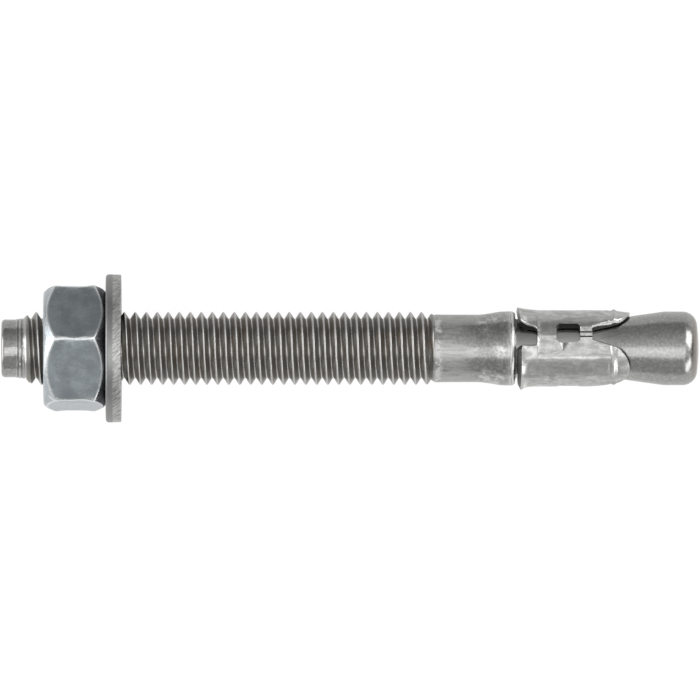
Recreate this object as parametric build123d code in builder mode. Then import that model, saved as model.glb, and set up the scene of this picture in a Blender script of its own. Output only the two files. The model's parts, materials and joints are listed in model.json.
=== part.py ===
"""M10 wedge anchor: pin with thread, shoulder, neck and cone, rolled expansion clip, washer, hexagon nut.

All sizes in millimetres. The bolt is described along its own axis, from the free threaded end
(station 0) to the domed end of the cone, and is laid down on the floor plane Z = 0 by one frame worked
out from the sizes: it rests on the rim of the washer and on the rounded corner of the head.
"""

import os
from math import asin, atan2, cos, degrees, hypot, radians, sin, sqrt

from build123d import *

# Pin: its stretches in order from the free end, lengths and diameters
dog_length = 2.1
dog_diameter = 7.9
dog_edge_radius = 0.5
runout_length = 0.9
runout_diameter = 8.3
runout_ramp = 0.2
thread_length = 55.95
thread_diameter = 9.95
shank_length = 6.25
shank_diameter = 9.2
taper_length = 3.15
collar_length = 1.65
collar_diameter = 10.1
shoulder_radius = 0.65
neck_length = 13.0
neck_diameter = 8.0
cone_length = 7.3
head_length = 4.7
head_diameter = 10.05
head_corner_radius = 2.0
dome_radius = 27.0

# Rolled clip: sheet, play, section of the sheet from lip to tip
sheet = 1.0
neck_play = 0.2
shoulder_play = 0.15
lip_length = 2.8
lip_inner_length = 1.7
lip_rise = 0.4
lip_face_length = 0.8
cone_overlap = 2.6
tip_thickness = 0.36
bead_from_tip = 2.1
bead_length = 0.9
bead_height = 0.13

# Rolled clip: punched outline, three times round
cutout_count = 3
first_cutout_angle = -25.0
notch_length = 2.9
notch_half_angle = 19.8
notch_corner_radius = 0.55
band_length = 2.55
window_length = 3.25
window_half_angle = 15.5
window_corner = 0.4
link_length = 1.65
slot_half_angle = 9.9
lobe_arc_radius = 4.3
lobe_arc_half_width = 3.31
lobe_arc_steps = 5
lobe_tip_half_angle = 4.0
tread_width = 0.95
tread_depth = 0.34
low_tread_width = 0.68
low_tread_start_depth = 0.12
low_tread_depth = 0.31
flat_offset_angle = 22.0
flat_half_angle = 17.0
mark_offset = 1.2
mark_half_width = 0.7
mark_depth = 0.35
mark_span_angle = 15.0
seam_index = 2
seam_gap = 0.4
punch_overrun = 1.0
tread_overrun = 0.3

# Nut and washer
nut_station = 5.73
nut_height = 8.45
nut_across_flats = 16.0
nut_turn = -8.9
nut_end_land = 0.35
nut_bearing_land = 0.25
nut_bore_play = 0.075
nut_countersink = 0.4
nut_turning_overrun = 0.2
washer_gap = 0.04
washer_thickness = 2.1
washer_diameter = 20.2
washer_play = 0.275
washer_edge_chamfer = 0.35

# Radii and stations that follow from the sizes
thread_start = dog_length + runout_length
thread_end = thread_start + thread_length
shank_end = thread_end + shank_length
collar_start = shank_end + taper_length
shoulder_station = collar_start + collar_length
cone_start = shoulder_station + neck_length
cone_end = cone_start + cone_length
bolt_length = cone_end + head_length
thread_radius = thread_diameter / 2
head_radius = head_diameter / 2
neck_radius = neck_diameter / 2
collar_radius = collar_diameter / 2
cone_slope = (head_radius - neck_radius) / cone_length
dome_centre = bolt_length - dome_radius
corner_centre_radius = head_radius - head_corner_radius
corner_centre = dome_centre + sqrt((dome_radius - head_corner_radius) ** 2 - corner_centre_radius ** 2)
nut_end = nut_station + nut_height
washer_start = nut_end + washer_gap
washer_end = washer_start + washer_thickness
washer_radius = washer_diameter / 2

# How the bolt lies: a floor line through the washer's edge and touching the head's corner arc
reach = corner_centre - washer_end
drop = washer_radius - corner_centre_radius
tilt = atan2(drop, reach) - asin(head_corner_radius / hypot(reach, drop))
height = washer_end * sin(tilt) + washer_radius * cos(tilt)
left_reach = dog_edge_radius * cos(tilt) - (dog_diameter / 2 - dog_edge_radius) * sin(tilt) - dog_edge_radius
right_reach = dome_centre * cos(tilt) + dome_radius
along = Vector(cos(tilt), 0, -sin(tilt))
up = Vector(sin(tilt), 0, cos(tilt))
side = Vector(0, -1, 0)
free_end = Vector(-(left_reach + right_reach) / 2, 0, height)
bolt_axis = Axis(free_end, along)
lengthwise = Plane(origin=free_end, x_dir=along, z_dir=side)


def radial(angle):
    """Direction square to the axis, turned by this angle in degrees from straight up towards the front."""
    return up * cos(radians(angle)) + side * sin(radians(angle))


def across(station, angle):
    """Plane square to the axis at a station, its x direction along the radial direction of the angle."""
    return Plane(origin=free_end + along * station, x_dir=radial(angle), z_dir=along)


def wedge(half_angle):
    """Corners of a cut whose two sides both point at the axis, as a hole punched before rolling has."""
    inner = 0.85 * neck_radius  # inside the sheet
    outer = 3 * neck_radius  # well outside it, also at the widest angle
    c = cos(radians(half_angle))
    s = sin(radians(half_angle))
    return [(inner * c, -inner * s), (outer * c, -outer * s), (outer * c, outer * s), (inner * c, inner * s)]


# Pin
with BuildPart() as anchor_body:
    with BuildSketch(lengthwise):
        with BuildLine():
            dog_edge = TangentArc(
                (0, dog_diameter / 2 - dog_edge_radius),
                (dog_edge_radius, dog_diameter / 2),
                tangent=(0, 1),
            )
            lead = thread_radius - runout_diameter / 2
            shank_step = thread_radius - shank_diameter / 2
            front = Polyline(
                dog_edge @ 1,
                (dog_length, dog_diameter / 2),
                (dog_length + runout_ramp, runout_diameter / 2),
                (thread_start, runout_diameter / 2),
                (thread_start + lead, thread_radius),
                (thread_end - shank_step, thread_radius),
                (thread_end, shank_diameter / 2),
                (shank_end, shank_diameter / 2),
                (collar_start, collar_radius),
                (shoulder_station - shoulder_radius, collar_radius),
            )
            shoulder = TangentArc(
                front @ 1,
                (shoulder_station, collar_radius - shoulder_radius),
                tangent=(1, 0),
            )
            cone = Polyline(
                shoulder @ 1,
                (shoulder_station, neck_radius),
                (cone_start, neck_radius),
                (cone_end, head_radius),
                (corner_centre, head_radius),
            )
            touch = head_corner_radius / (dome_radius - head_corner_radius)
            corner = TangentArc(
                cone @ 1,
                (
                    corner_centre + (corner_centre - dome_centre) * touch,
                    corner_centre_radius * (1 + touch),
                ),
                tangent=(1, 0),
            )
            dome = TangentArc(corner @ 1, (bolt_length, 0), tangent=corner % 1)
            Polyline(dome @ 1, (0, 0), dog_edge @ 0)
        make_face()
    revolve(axis=bolt_axis)
anchor_body.part.label = "anchor_body"

# Rolled expansion clip
clip_inner = neck_radius + neck_play
clip_outer = clip_inner + sheet
clip_start = shoulder_station + shoulder_play
notch_end = clip_start + notch_length
window_start = notch_end + band_length
window_end = window_start + window_length
slot_start = window_end + link_length
clip_end = cone_start + cone_overlap
bead_station = clip_end - bead_from_tip
tip_inner = clip_inner + cone_overlap * cone_slope
lip_outer_station = clip_start + lip_face_length
lip_inner_radius = clip_outer + lip_rise - lip_face_length

# one set of punches, made for the first cut-out and used three times round the clip
pitch_angle = 360 / cutout_count
arc_centre = clip_end - lobe_arc_radius
arc_first = asin(lobe_arc_half_width / lobe_arc_radius)
arc_last = radians(lobe_tip_half_angle)
slot_sides = []
for step in range(lobe_arc_steps + 1):
    turn = arc_first + (arc_last - arc_first) * step / lobe_arc_steps
    lobe_half_angle = degrees(lobe_arc_radius * sin(turn) / clip_outer)
    slot_sides.append((arc_centre + lobe_arc_radius * cos(turn), pitch_angle / 2 - lobe_half_angle))
slot_sides.append((clip_end + punch_overrun, slot_sides[-1][1]))
sideways = radial(first_cutout_angle + 90)

# notch in the lip end, its inner corners rounded
with BuildPart() as notch_punch:
    with BuildSketch(across(clip_start - punch_overrun, first_cutout_angle)):
        Polygon(*wedge(notch_half_angle), align=None)
    extrude(amount=notch_length + punch_overrun)
    ends = notch_punch.edges().filter_by_position(bolt_axis, notch_end - 0.01, notch_end + 0.01)
    corners = ends.filter_by(lambda edge: abs(edge.tangent_at(0).dot(sideways)) < 0.99)
    fillet(corners, radius=notch_corner_radius)

# window, its corners cut off
with BuildPart() as window_punch:
    with BuildSketch(across(window_start, first_cutout_angle)):
        Polygon(*wedge(window_half_angle), align=None)
    extrude(amount=window_length)
    ends = window_punch.edges().filter_by(lambda edge: abs(edge.tangent_at(0).dot(along)) < 0.5)
    corners = ends.filter_by(lambda edge: abs(edge.tangent_at(0).dot(sideways)) < 0.99)
    chamfer(corners, length=window_corner)

# slot between two lobes: straight flanks, then the round tips
with BuildPart() as slot_punch:
    with BuildSketch(across(slot_start, first_cutout_angle)):
        Polygon(*wedge(slot_half_angle), align=None)
    with BuildSketch(across(slot_sides[0][0], first_cutout_angle)):
        Polygon(*wedge(slot_sides[0][1]), align=None)
    loft(ruled=True)
    for station, half_angle in slot_sides:
        with BuildSketch(across(station, first_cutout_angle)):
            Polygon(*wedge(half_angle), align=None)
    loft(ruled=True)

# two treads pressed into the link between window and slot, each ending in a small step
with BuildPart() as tread_punch:
    with BuildSketch(across(window_end - tread_overrun, first_cutout_angle)):
        Polygon(
            (clip_outer - tread_depth, 0),
            (clip_outer + tread_depth, 0),
            (clip_outer + tread_depth, -2 * tread_width),
            align=None,
        )
        Polygon(
            (clip_outer - low_tread_start_depth, 0),
            (clip_outer + tread_depth, 0),
            (clip_outer + tread_depth, low_tread_width),
            (clip_outer - low_tread_depth, low_tread_width),
            align=None,
        )
    extrude(amount=link_length + 2 * tread_overrun)

# flat on the barrel beside the cut-outs, where the strip was bent less
flat_height = clip_outer * cos(radians(flat_half_angle))
with BuildPart() as flat_punch:
    with BuildSketch(across(notch_end, first_cutout_angle + flat_offset_angle)):
        with Locations((flat_height + sheet / 2, 0)):
            Rectangle(sheet, clip_outer)
    extrude(amount=bead_station - bead_length / 2 - notch_end)

# triangular mark beside the window, running out to nothing
mark_angle = first_cutout_angle + window_half_angle
mark_station = free_end + along * (window_start + mark_offset)
mark_foot = mark_station + radial(mark_angle) * (clip_outer - mark_depth)
mark_end = mark_station + radial(mark_angle + mark_span_angle) * clip_outer
with BuildPart() as mark_punch:
    with BuildSketch(Plane(origin=mark_foot, x_dir=along, z_dir=mark_end - mark_foot)):
        Polygon(
            (0, 0),
            (2 * mark_half_width, 2 * mark_depth),
            (-2 * mark_half_width, 2 * mark_depth),
            align=None,
        )
    extrude(amount=(mark_end - mark_foot).length)

with BuildPart() as expansion_clip:
    # the sheet in section: lip turned out, straight barrel, bead, tips that follow the cone
    with BuildSketch(lengthwise):
        with BuildLine():
            lip_face = Line((clip_start, lip_inner_radius), (lip_outer_station, clip_outer + lip_rise))
            lip_outside = Spline(
                lip_face @ 1,
                (clip_start + lip_length, clip_outer),
                tangents=((0.86, -0.5), (1, 0)),
            )
            barrel = Line(lip_outside @ 1, (bead_station - bead_length / 2, clip_outer))
            bead = ThreePointArc(
                barrel @ 1,
                (bead_station, clip_outer + bead_height),
                (bead_station + bead_length / 2, clip_outer),
            )
            tip = Polyline(
                bead @ 1,
                (clip_end, tip_inner + tip_thickness),
                (clip_end, tip_inner),
                (cone_start, clip_inner),
                (clip_start + lip_inner_length, clip_inner),
            )
            Spline(tip @ 1, lip_face @ 0, tangents=((-1, 0), (-0.72, 0.69)))
        make_face()
    revolve(axis=bolt_axis)
    for index in range(cutout_count):
        for punch in (notch_punch, window_punch, slot_punch, tread_punch, flat_punch, mark_punch):
            add(punch.part.rotate(bolt_axis, index * pitch_angle), mode=Mode.SUBTRACT)

    # the open seam where the rolled strip meets itself
    with BuildSketch(across(clip_start - punch_overrun, first_cutout_angle + seam_index * pitch_angle)):
        with Locations((clip_outer, 0)):
            Rectangle(2 * sheet + 2 * lip_rise, seam_gap)
    extrude(amount=slot_start - clip_start + 2 * punch_overrun, mode=Mode.SUBTRACT)
expansion_clip.part.label = "expansion_clip"

# Washer
with BuildPart() as washer:
    with BuildSketch(across(washer_start, 0)):
        Circle(washer_radius)
        Circle(thread_radius + washer_play, mode=Mode.SUBTRACT)
    extrude(amount=washer_thickness)
    rims = washer.edges().filter_by(GeomType.CIRCLE).group_by(SortBy.RADIUS)[-1]
    chamfer(rims.sort_by(bolt_axis)[0], length=washer_edge_chamfer)
washer.part.label = "washer"

# Hexagon nut
nut_corner = nut_across_flats / 2 / cos(radians(30))
nut_bore = thread_radius + nut_bore_play
nut_mouth = nut_bore + nut_countersink

with BuildPart() as hex_nut:
    with BuildSketch(across(nut_station, nut_turn)):
        RegularPolygon(radius=nut_corner, side_count=6)
    extrude(amount=nut_height)
    # both ends turned down at 45 degrees, the bore countersunk at both ends
    with BuildSketch(lengthwise):
        with BuildLine():
            end_circle = nut_across_flats / 2 - nut_end_land
            bearing_circle = nut_across_flats / 2 - nut_bearing_land
            turned = nut_corner + nut_turning_overrun
            Polyline(
                (nut_station, nut_mouth),
                (nut_station, end_circle),
                (nut_station + turned - end_circle, turned),
                (nut_end - turned + bearing_circle, turned),
                (nut_end, bearing_circle),
                (nut_end, nut_mouth),
                (nut_end - nut_countersink, nut_bore),
                (nut_station + nut_countersink, nut_bore),
                close=True,
            )
        make_face()
    revolve(axis=bolt_axis, mode=Mode.INTERSECT)
hex_nut.part.label = "hex_nut"

os.makedirs("parts", exist_ok=True)
export_step(anchor_body.part, "parts/anchor_body.step")
export_step(expansion_clip.part, "parts/expansion_clip.step")
export_step(washer.part, "parts/washer.step")
export_step(hex_nut.part, "parts/hex_nut.step")
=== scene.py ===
import json
import math

import bmesh
import bpy
import mathutils
import numpy as np
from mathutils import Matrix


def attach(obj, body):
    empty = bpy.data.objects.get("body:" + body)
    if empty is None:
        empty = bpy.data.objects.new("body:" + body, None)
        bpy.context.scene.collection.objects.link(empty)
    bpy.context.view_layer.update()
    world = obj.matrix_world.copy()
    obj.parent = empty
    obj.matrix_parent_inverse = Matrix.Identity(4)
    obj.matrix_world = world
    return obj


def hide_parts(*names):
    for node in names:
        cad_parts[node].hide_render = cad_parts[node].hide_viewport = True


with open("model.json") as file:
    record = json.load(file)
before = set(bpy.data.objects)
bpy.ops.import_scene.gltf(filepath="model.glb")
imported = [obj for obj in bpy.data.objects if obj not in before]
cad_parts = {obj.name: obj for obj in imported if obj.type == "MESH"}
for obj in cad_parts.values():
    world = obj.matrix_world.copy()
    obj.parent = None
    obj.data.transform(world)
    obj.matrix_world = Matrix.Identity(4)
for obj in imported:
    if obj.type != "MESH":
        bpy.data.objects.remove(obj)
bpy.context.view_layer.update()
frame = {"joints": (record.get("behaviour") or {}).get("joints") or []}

# Shapes are worked out in the bolt's own measure: station along its axis from the free end, radius and
# angle round it, in millimetres and radians. The angle runs from straight up towards the front.
boltLine = {
    "nutMiddle": 9.955,  # station of the nut's middle, where the nut joint stands
    "pitch": 1.5,
    "crestPhase": 0.61,  # station of a thread crest on the upper side, less whole pitches
}

nutJoint = next(j for j in frame["joints"] if j["name"] == "nut_turn")
along = np.array(nutJoint["axis"], float)
along /= np.linalg.norm(along)
side = np.array([0.0, -1.0, 0.0])
up = np.cross(side, along)
freeEnd = np.array(nutJoint["pos_m"]) * 1000 - along * boltLine["nutMiddle"]
tilt = math.atan2(-along[2], along[0])
pitch = boltLine["pitch"]
fullTurn = 2 * math.pi


def toWorld(station, radius, angle):
    # free end + station along the axis + radius turned by the angle, in metres
    station, radius, angle = np.broadcast_arrays(station, radius, angle)
    out = freeEnd + station[..., None] * along
    out = out + (radius * np.cos(angle))[..., None] * up + (radius * np.sin(angle))[..., None] * side
    return out / 1000


def unit(x):
    return np.clip(x, 0, 1)


def soften(x, low, high):
    # 0 below low, 1 above high, and an S curve (3t^2 - 2t^3) between them
    t = unit((x - low) / (high - low))
    return t * t * (3 - 2 * t)


def within(x, rise, full, fall, end):
    # 1 between full and fall, with an S curve down to 0 on either side
    return soften(x, rise, full) * (1 - soften(x, fall, end))


def wobble(station, angle, seed, reach, waves=7):
    # sine waves of random direction over (station, 5 mm x angle), between -1 and 1 in all; their number
    # round the bolt is whole, so that the pattern closes
    rng = np.random.default_rng(seed)
    most = int(fullTurn * 5 / reach)
    total = 0
    for _ in range(waves):
        turns = rng.integers(-most, most + 1)
        slope = rng.uniform(-1, 1) * fullTurn / reach
        total = total + np.sin(station * slope + turns * angle + rng.uniform(0, fullTurn))
    return total / waves


def arc(centre, radius, start, stop, steps):
    # points of a circle in the (station, radius) plane between two angles in degrees
    turn = np.radians(np.linspace(start, stop, steps))
    return np.column_stack([centre[0] + radius * np.cos(turn), centre[1] + radius * np.sin(turn)])


def refine(points, step):
    # fills a chain of (station, radius) points so that no stretch is longer than step
    points = np.asarray(points, float)
    out = [points[:1]]
    for a, b in zip(points[:-1], points[1:]):
        count = max(1, int(math.ceil(np.hypot(*(b - a)) / step)))
        out.append(a + (b - a) * np.linspace(0, 1, count + 1)[1:, None])
    return np.concatenate(out)


def gridFaces(high, wide, closed):
    # quads of a grid of points whose rows run along the bolt and whose columns run round it
    i = np.arange(high - 1)[:, None] * wide
    j = np.arange(wide if closed else wide - 1)[None, :]
    nxt = (j + 1) % wide
    return np.stack([i + j, i + nxt, i + wide + nxt, i + wide + j], -1).reshape(-1, 4)


def roundSkin(profile, columns, change=None, turn=0.0):
    # a (station, radius) profile turned round the axis; change(station, radius, angle) gives other radii
    turns = turn + np.arange(columns) * fullTurn / columns
    station, angle = np.meshgrid(profile[:, 0], turns, indexing="ij")
    radius = np.repeat(profile[:, 1:2], columns, axis=1)
    if change is not None:
        radius = change(station, radius, angle)
    return toWorld(station, radius, angle).reshape(-1, 3), gridFaces(len(profile), columns, True).tolist()


def helixSkin(first, turns, columns, rows, radiusAt, turn=0.0):
    # a thread profile carried along a helix: rows are shares of one pitch, and each turn's last row is the
    # next turn's first, so station = first + pitch x (angle / full turn + share). Straight rings close
    # both ends, each with a fan of triangles where the helix starts.
    rows = np.asarray(rows)
    steps, many = turns * columns, len(rows)
    k = np.arange(steps + 1)[:, None]
    station = first + pitch * (k / columns + rows)
    angle = np.broadcast_to(k * fullTurn / columns, station.shape)
    tailK = np.arange(steps + 1, steps + columns + 1)
    ringAngle = np.arange(columns) * fullTurn / columns
    station = np.concatenate([station.ravel(), first + pitch * tailK / columns,
                              np.full(columns, first), np.full(columns, first + pitch * (turns + 1))])
    angle = np.concatenate([angle.ravel(), tailK * fullTurn / columns, ringAngle, ringAngle]) + turn
    points = toWorld(station, radiusAt(station, angle), angle)

    tail = steps * many + many - steps - 1  # added to k, gives the index of a tail point
    startRing = (steps + 1) * many + columns
    endRing = startRing + columns

    def at(k, m):
        # index of row m at angle step k; row "many" is row 0 one turn later
        k, m = np.broadcast_arrays(k, m)
        k, m = np.where(m == many, k + columns, k), np.where(m == many, 0, m)
        return np.where(k <= steps, k * many + m, k + tail)

    k, m = np.arange(steps)[:, None], np.arange(many)[None, :]
    body = np.stack([at(k, m), at(k + 1, m), at(k + 1, m + 1), at(k, m + 1)], -1).reshape(-1, 4)
    j, none = np.arange(columns - 1), np.zeros(columns - 1, int)
    startBand = np.stack([startRing + j, startRing + j + 1, at(j + 1, none), at(j, none)], -1)
    endBand = np.stack([at(steps + j + 1, none), at(steps + j + 2, none),
                        endRing + (j + 2) % columns, endRing + j + 1], -1)
    m, none = np.arange(many), np.zeros(many, int)
    lastStart, firstEnd = int(at(columns - 1, 0)), int(at(steps + 1, 0))
    startFan = np.stack([at(none, m), at(none, m + 1), none + lastStart], -1)
    endFan = np.stack([at(none + steps, m), none + firstEnd, at(none + steps, m + 1)], -1)
    corners = [[startRing + columns - 1, startRing, lastStart], [firstEnd, endRing + 1, endRing]]
    faces = body.tolist() + startBand.tolist() + endBand.tolist()
    return points, faces + startFan.tolist() + endFan.tolist() + corners


def linked(name, data):
    # a new object of the scene that holds this mesh, lamp or camera
    made = bpy.data.objects.new(name, data)
    bpy.context.scene.collection.objects.link(made)
    return made


def makePiece(name, skins, smoothAngle, inward=(), pointMarks=None, faceMarks=None):
    # joins skins, turning round those that line a bore, and merges their shared rings and poles; marks
    # are values per point or per face that the material reads
    points = np.concatenate([skin[0] for skin in skins])
    faces, base = [], 0
    for number, (somePoints, someFaces) in enumerate(skins):
        order = -1 if number in inward else 1
        faces += [[base + v for v in face[::order]] for face in someFaces]
        base += len(somePoints)
    mesh = bpy.data.meshes.new(name)
    mesh.from_pydata(points.tolist(), [], faces)
    for domain, marks in (("POINT", pointMarks), ("FACE", faceMarks)):
        for label, values in (marks or {}).items():
            mesh.attributes.new(label, "FLOAT", domain).data.foreach_set("value", np.asarray(values, float))
    work = bmesh.new()
    work.from_mesh(mesh)
    bmesh.ops.remove_doubles(work, verts=work.verts, dist=2e-7)
    bmesh.ops.dissolve_degenerate(work, edges=work.edges, dist=1e-8)
    work.to_mesh(mesh)
    work.free()
    mesh.shade_smooth()
    mesh.set_sharp_from_angle(angle=math.radians(smoothAngle))
    return linked(name, mesh)


def place(piece, node, slot, material):
    # the piece takes over its node, with its material
    piece.data.materials.append(material)
    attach(piece, node)
    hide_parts(node)


# Shader maths as plain expressions
class Wire:
    def __init__(self, recipe, socket):
        self.maths, self.socket = recipe.maths, socket

    def __add__(self, other):
        return self.maths("ADD", self, other)

    def __sub__(self, other):
        return self.maths("SUBTRACT", self, other)

    def __rsub__(self, other):
        return self.maths("SUBTRACT", other, self)

    def __mul__(self, other):
        return self.maths("MULTIPLY", self, other)

    def __pow__(self, other):
        return self.maths("POWER", self, other)


class Recipe:
    # one node tree: its nodes come from node(), its numbers from Wire expressions
    def __init__(self, owner, outputKind="OutputMaterial"):
        owner.use_nodes = True
        self.owner, self.tree = owner, owner.node_tree
        self.tree.nodes.clear()
        self.output = self.node(outputKind)

    def node(self, kind, inputs=None, settings=None):
        # a node of any kind, with values or links in its sockets
        made = self.tree.nodes.new("ShaderNode" + kind)
        for key, value in (settings or {}).items():
            setattr(made, key, value)
        for key, value in (inputs or {}).items():
            if isinstance(value, Wire):
                self.tree.links.new(value.socket, made.inputs[key])
            else:
                made.inputs[key].default_value = value
        return made

    def out(self, kind, inputs=None, settings=None, name=0):
        return Wire(self, self.node(kind, inputs, settings).outputs[name])

    def join(self, source, target, place=0):
        self.tree.links.new(source.outputs[0], target.inputs[place])

    def maths(self, kind, *values):
        return self.out("Math", dict(enumerate(values)), {"operation": kind})

    def local(self):
        # (station, to the back, up) in millimetres: Object coordinates turned to lie along the bolt
        coords = self.out("TexCoord", name="Object")
        start = (-freeEnd @ along, -freeEnd @ -side, -freeEnd @ up)
        return self.out("Mapping", {
            "Vector": coords, "Location": start, "Rotation": (0, -tilt, 0), "Scale": (1000, 1000, 1000)})

    def parts(self, vector):
        return [Wire(self, socket) for socket in self.node("SeparateXYZ", {0: vector}).outputs]

    def stretch(self, vector, *scale):
        return self.out("VectorMath", {0: vector, 1: scale}, {"operation": "MULTIPLY"})

    def dot(self, vector, axis):
        return self.out("VectorMath", {0: vector, 1: tuple(axis)}, {"operation": "DOT_PRODUCT"}, "Value")

    def noise(self, vector, scale, detail=4.0, roughness=0.55, distortion=0.0):
        return self.out("TexNoise", {
            "Vector": vector, "Scale": scale, "Detail": detail, "Roughness": roughness,
            "Distortion": distortion})

    def step(self, value, low, high, start=0.0, stop=1.0):
        # an S curve from start to stop while value goes from low to high
        sockets = {"Value": value, "From Min": low, "From Max": high, "To Min": start, "To Max": stop}
        return self.out("MapRange", sockets, {"interpolation_type": "SMOOTHSTEP"})

    def band(self, value, rise, full, fall, end):
        # what within() is for numbers
        return self.step(value, rise, full) * self.step(value, end, fall)

    def mix(self, share, first, second):
        colours = [c if isinstance(c, Wire) else (*c, 1) for c in (first, second)]
        sockets = {"Factor": share, 6: colours[0], 7: colours[1]}
        return self.out("Mix", sockets, {"data_type": "RGBA"}, 2)

    def coat(self, colours, under, layers):
        # each layer is a share and the name of the colour that it lays over those before it
        base = colours[under]
        for share, name in layers:
            base = self.mix(share, base, colours[name])
        return base

    def mark(self, label):
        return self.out("Attribute", None, {"attribute_name": label}, "Fac")

    def metal(self, colour, roughness, relief, strength, depth):
        # a bare metal surface with a fine relief
        normal = self.out("Bump", {"Height": relief, "Strength": strength, "Distance": depth})
        shader = self.node("BsdfPrincipled", {
            "Base Color": colour, "Roughness": roughness, "Metallic": 1.0, "Normal": normal})
        self.join(shader, self.output)
        return self.owner


# The pin: dog point, run-out rings, rolled thread, shank, taper, collar, neck, cone and domed head
pin = {
    "columns": 96,
    "dogRadius": 3.95,
    "dogEdge": 0.5,
    "shankRadius": 4.6,
    "collarRadius": 5.05,
    "shoulder": 0.65,
    "neckRadius": 4.0,
    "headRadius": 5.025,
    "headCorner": 2.0,
    "domeRadius": 27.0,
    "length": 94.99,
    "taperStart": 65.0,
    "taperEnd": 68.7,
    "shoulderEnd": 70.1,
    "coneStart": 83.0,
    "coneEnd": 90.3,
    "threadTurns": 39,
    "threadSpan": (3.02, 58.95),
    # (station, radius): the plain stretches, and the thread's ceiling and floor
    "plain": [(0.7, 3.95), (1.9, 3.94), (2.3, 4.02), (2.9, 4.07), (3.05, 4.07),
              (58.4, 4.15), (58.95, 4.55), (59.3, 4.63), (60, 4.6)],
    "ceiling": [(3.02, 4.07), (3.32, 4.43), (4.45, 4.93), (4.9, 5.0),
                (57.7, 5.0), (58.6, 4.72), (58.95, 4.55)],
    "floor": [(3.02, 4.06), (3.3, 4.0), (58.0, 4.0), (58.6, 4.3), (58.95, 4.55)],
    "ringStart": 1.9,  # turned rings between dog point and thread
    "ringDepth": 0.035,
    "ringStep": 0.50,
    "crestWear": 0.016,
    "crestNicks": 0.012,
    "beaten": 0.008,
    "collarSmears": 0.022,
    # stations, or radii, between which a finish rises, is full, falls and ends
    "onThread": (3.36, 3.5, 58.7, 59.0),
    "onFlank": (4.05, 4.11, 4.86, 4.94),
    "onRings": (1.95, 2.1, 2.85, 2.95),
    "onFirstRing": (2.95, 3.05, 3.4, 3.55),
    "onShank": (58.8, 59.2, 62.0, 65.0),
    "onTaper": (64.4, 65.4, 68.6, 69.2),
    "onCollarEnd": (68.7, 69.6, 70.1, 70.2),
    "onNeck": (70.05, 70.2, 81.0, 83.5),
    "steel": (0.34, 0.34, 0.332),
    "steelBright": (0.46, 0.46, 0.45),
    "steelDull": (0.25, 0.247, 0.238),
    "pit": (0.15, 0.146, 0.14),
    # painted shade on the thread's flanks; painted highlights along its crests and roots
    "flank": (0.295, 0.286, 0.268),
    "crestHighlight": (0.60, 0.595, 0.58),
    "rootHighlight": (0.58, 0.57, 0.55),
    "shank": (0.50, 0.50, 0.49),
    # bright smears of wear; also the colour of painted highlights on the rings
    "smearAndHighlight": (0.78, 0.78, 0.77),
    # the neck's colour, lightened as painted light where the clip shades it
    "neck": (0.53, 0.53, 0.52),
    "rust": (0.27, 0.215, 0.175),
}

# Thread form, in shares of the pitch from the middle of the crest
thread = {
    "crest": 4.975,
    "root": 4.04,
    "crestHalf": 0.05,
    "rootHalf": 0.055,
    "rows": [0, 0.03, 0.06, 0.10, 0.20, 0.30, 0.39, 0.43, 0.465,
             0.5, 0.535, 0.57, 0.61, 0.70, 0.80, 0.90, 0.94, 0.97],
}


def threadRadius(station, angle):
    # straight flanks between a crest and a root that are each a parabola, t = x^2 / (4 half width);
    # a crest stands where (station - phase) / pitch - angle / full turn is a whole number
    share = (station - boltLine["crestPhase"]) / pitch - angle / fullTurn
    fromCrest = np.abs((share + 0.5) % 1.0 - 0.5)
    top, foot = thread["crestHalf"], thread["rootHalf"]
    down = np.where(fromCrest < 2 * top, fromCrest ** 2 / (4 * top), fromCrest - top)
    fromRoot = 0.5 - fromCrest
    full = 0.5 - top - foot
    down = np.where(fromRoot < 2 * foot, full - fromRoot ** 2 / (4 * foot), down)
    return thread["crest"] - (thread["crest"] - thread["root"]) * down / full


def pinRadius(station, angle):
    # the thread between a floor and a ceiling that close on the plain stretches at both ends
    p = pin
    plain, ceiling, floor = (np.interp(station, *zip(*p[name])) for name in ("plain", "ceiling", "floor"))
    fromRings = station - p["ringStart"]
    rings = np.sin(fromRings * fullTurn / p["ringStep"]) + 0.5 * np.sin(fromRings * 31 + angle)
    rings = p["ringDepth"] * rings * within(station, 1.85, 2.0, 2.9, 3.05)
    form = threadRadius(station, angle)
    worn = p["crestWear"] * wobble(station, angle, 3, 2.2)
    worn = worn - p["crestNicks"] * np.abs(wobble(station, angle, 4, 0.8))
    form = np.clip(form + worn * soften(form, 4.6, 4.9), floor, ceiling)
    start, stop = p["threadSpan"]
    return np.where((station < start) | (station > stop), plain + rings, form)


def beatenPin(station, radius, angle):
    # slight unevenness of the cold-formed surfaces, none where the radius goes to nothing
    depth = pin["beaten"] * soften(radius, 0.5, 3.5) * soften(station, 60.7, 62.5)
    dents = wobble(station, angle, 11, 3.5) + 0.3 * wobble(station, angle, 12, 1.3)
    smears = pin["collarSmears"] * wobble(station * 2, angle, 13, 1.5) * soften(radius, 4.4, 4.8)
    return radius + depth * dents + smears * within(station, 67.0, 68.4, 69.4, 69.9)


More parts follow.
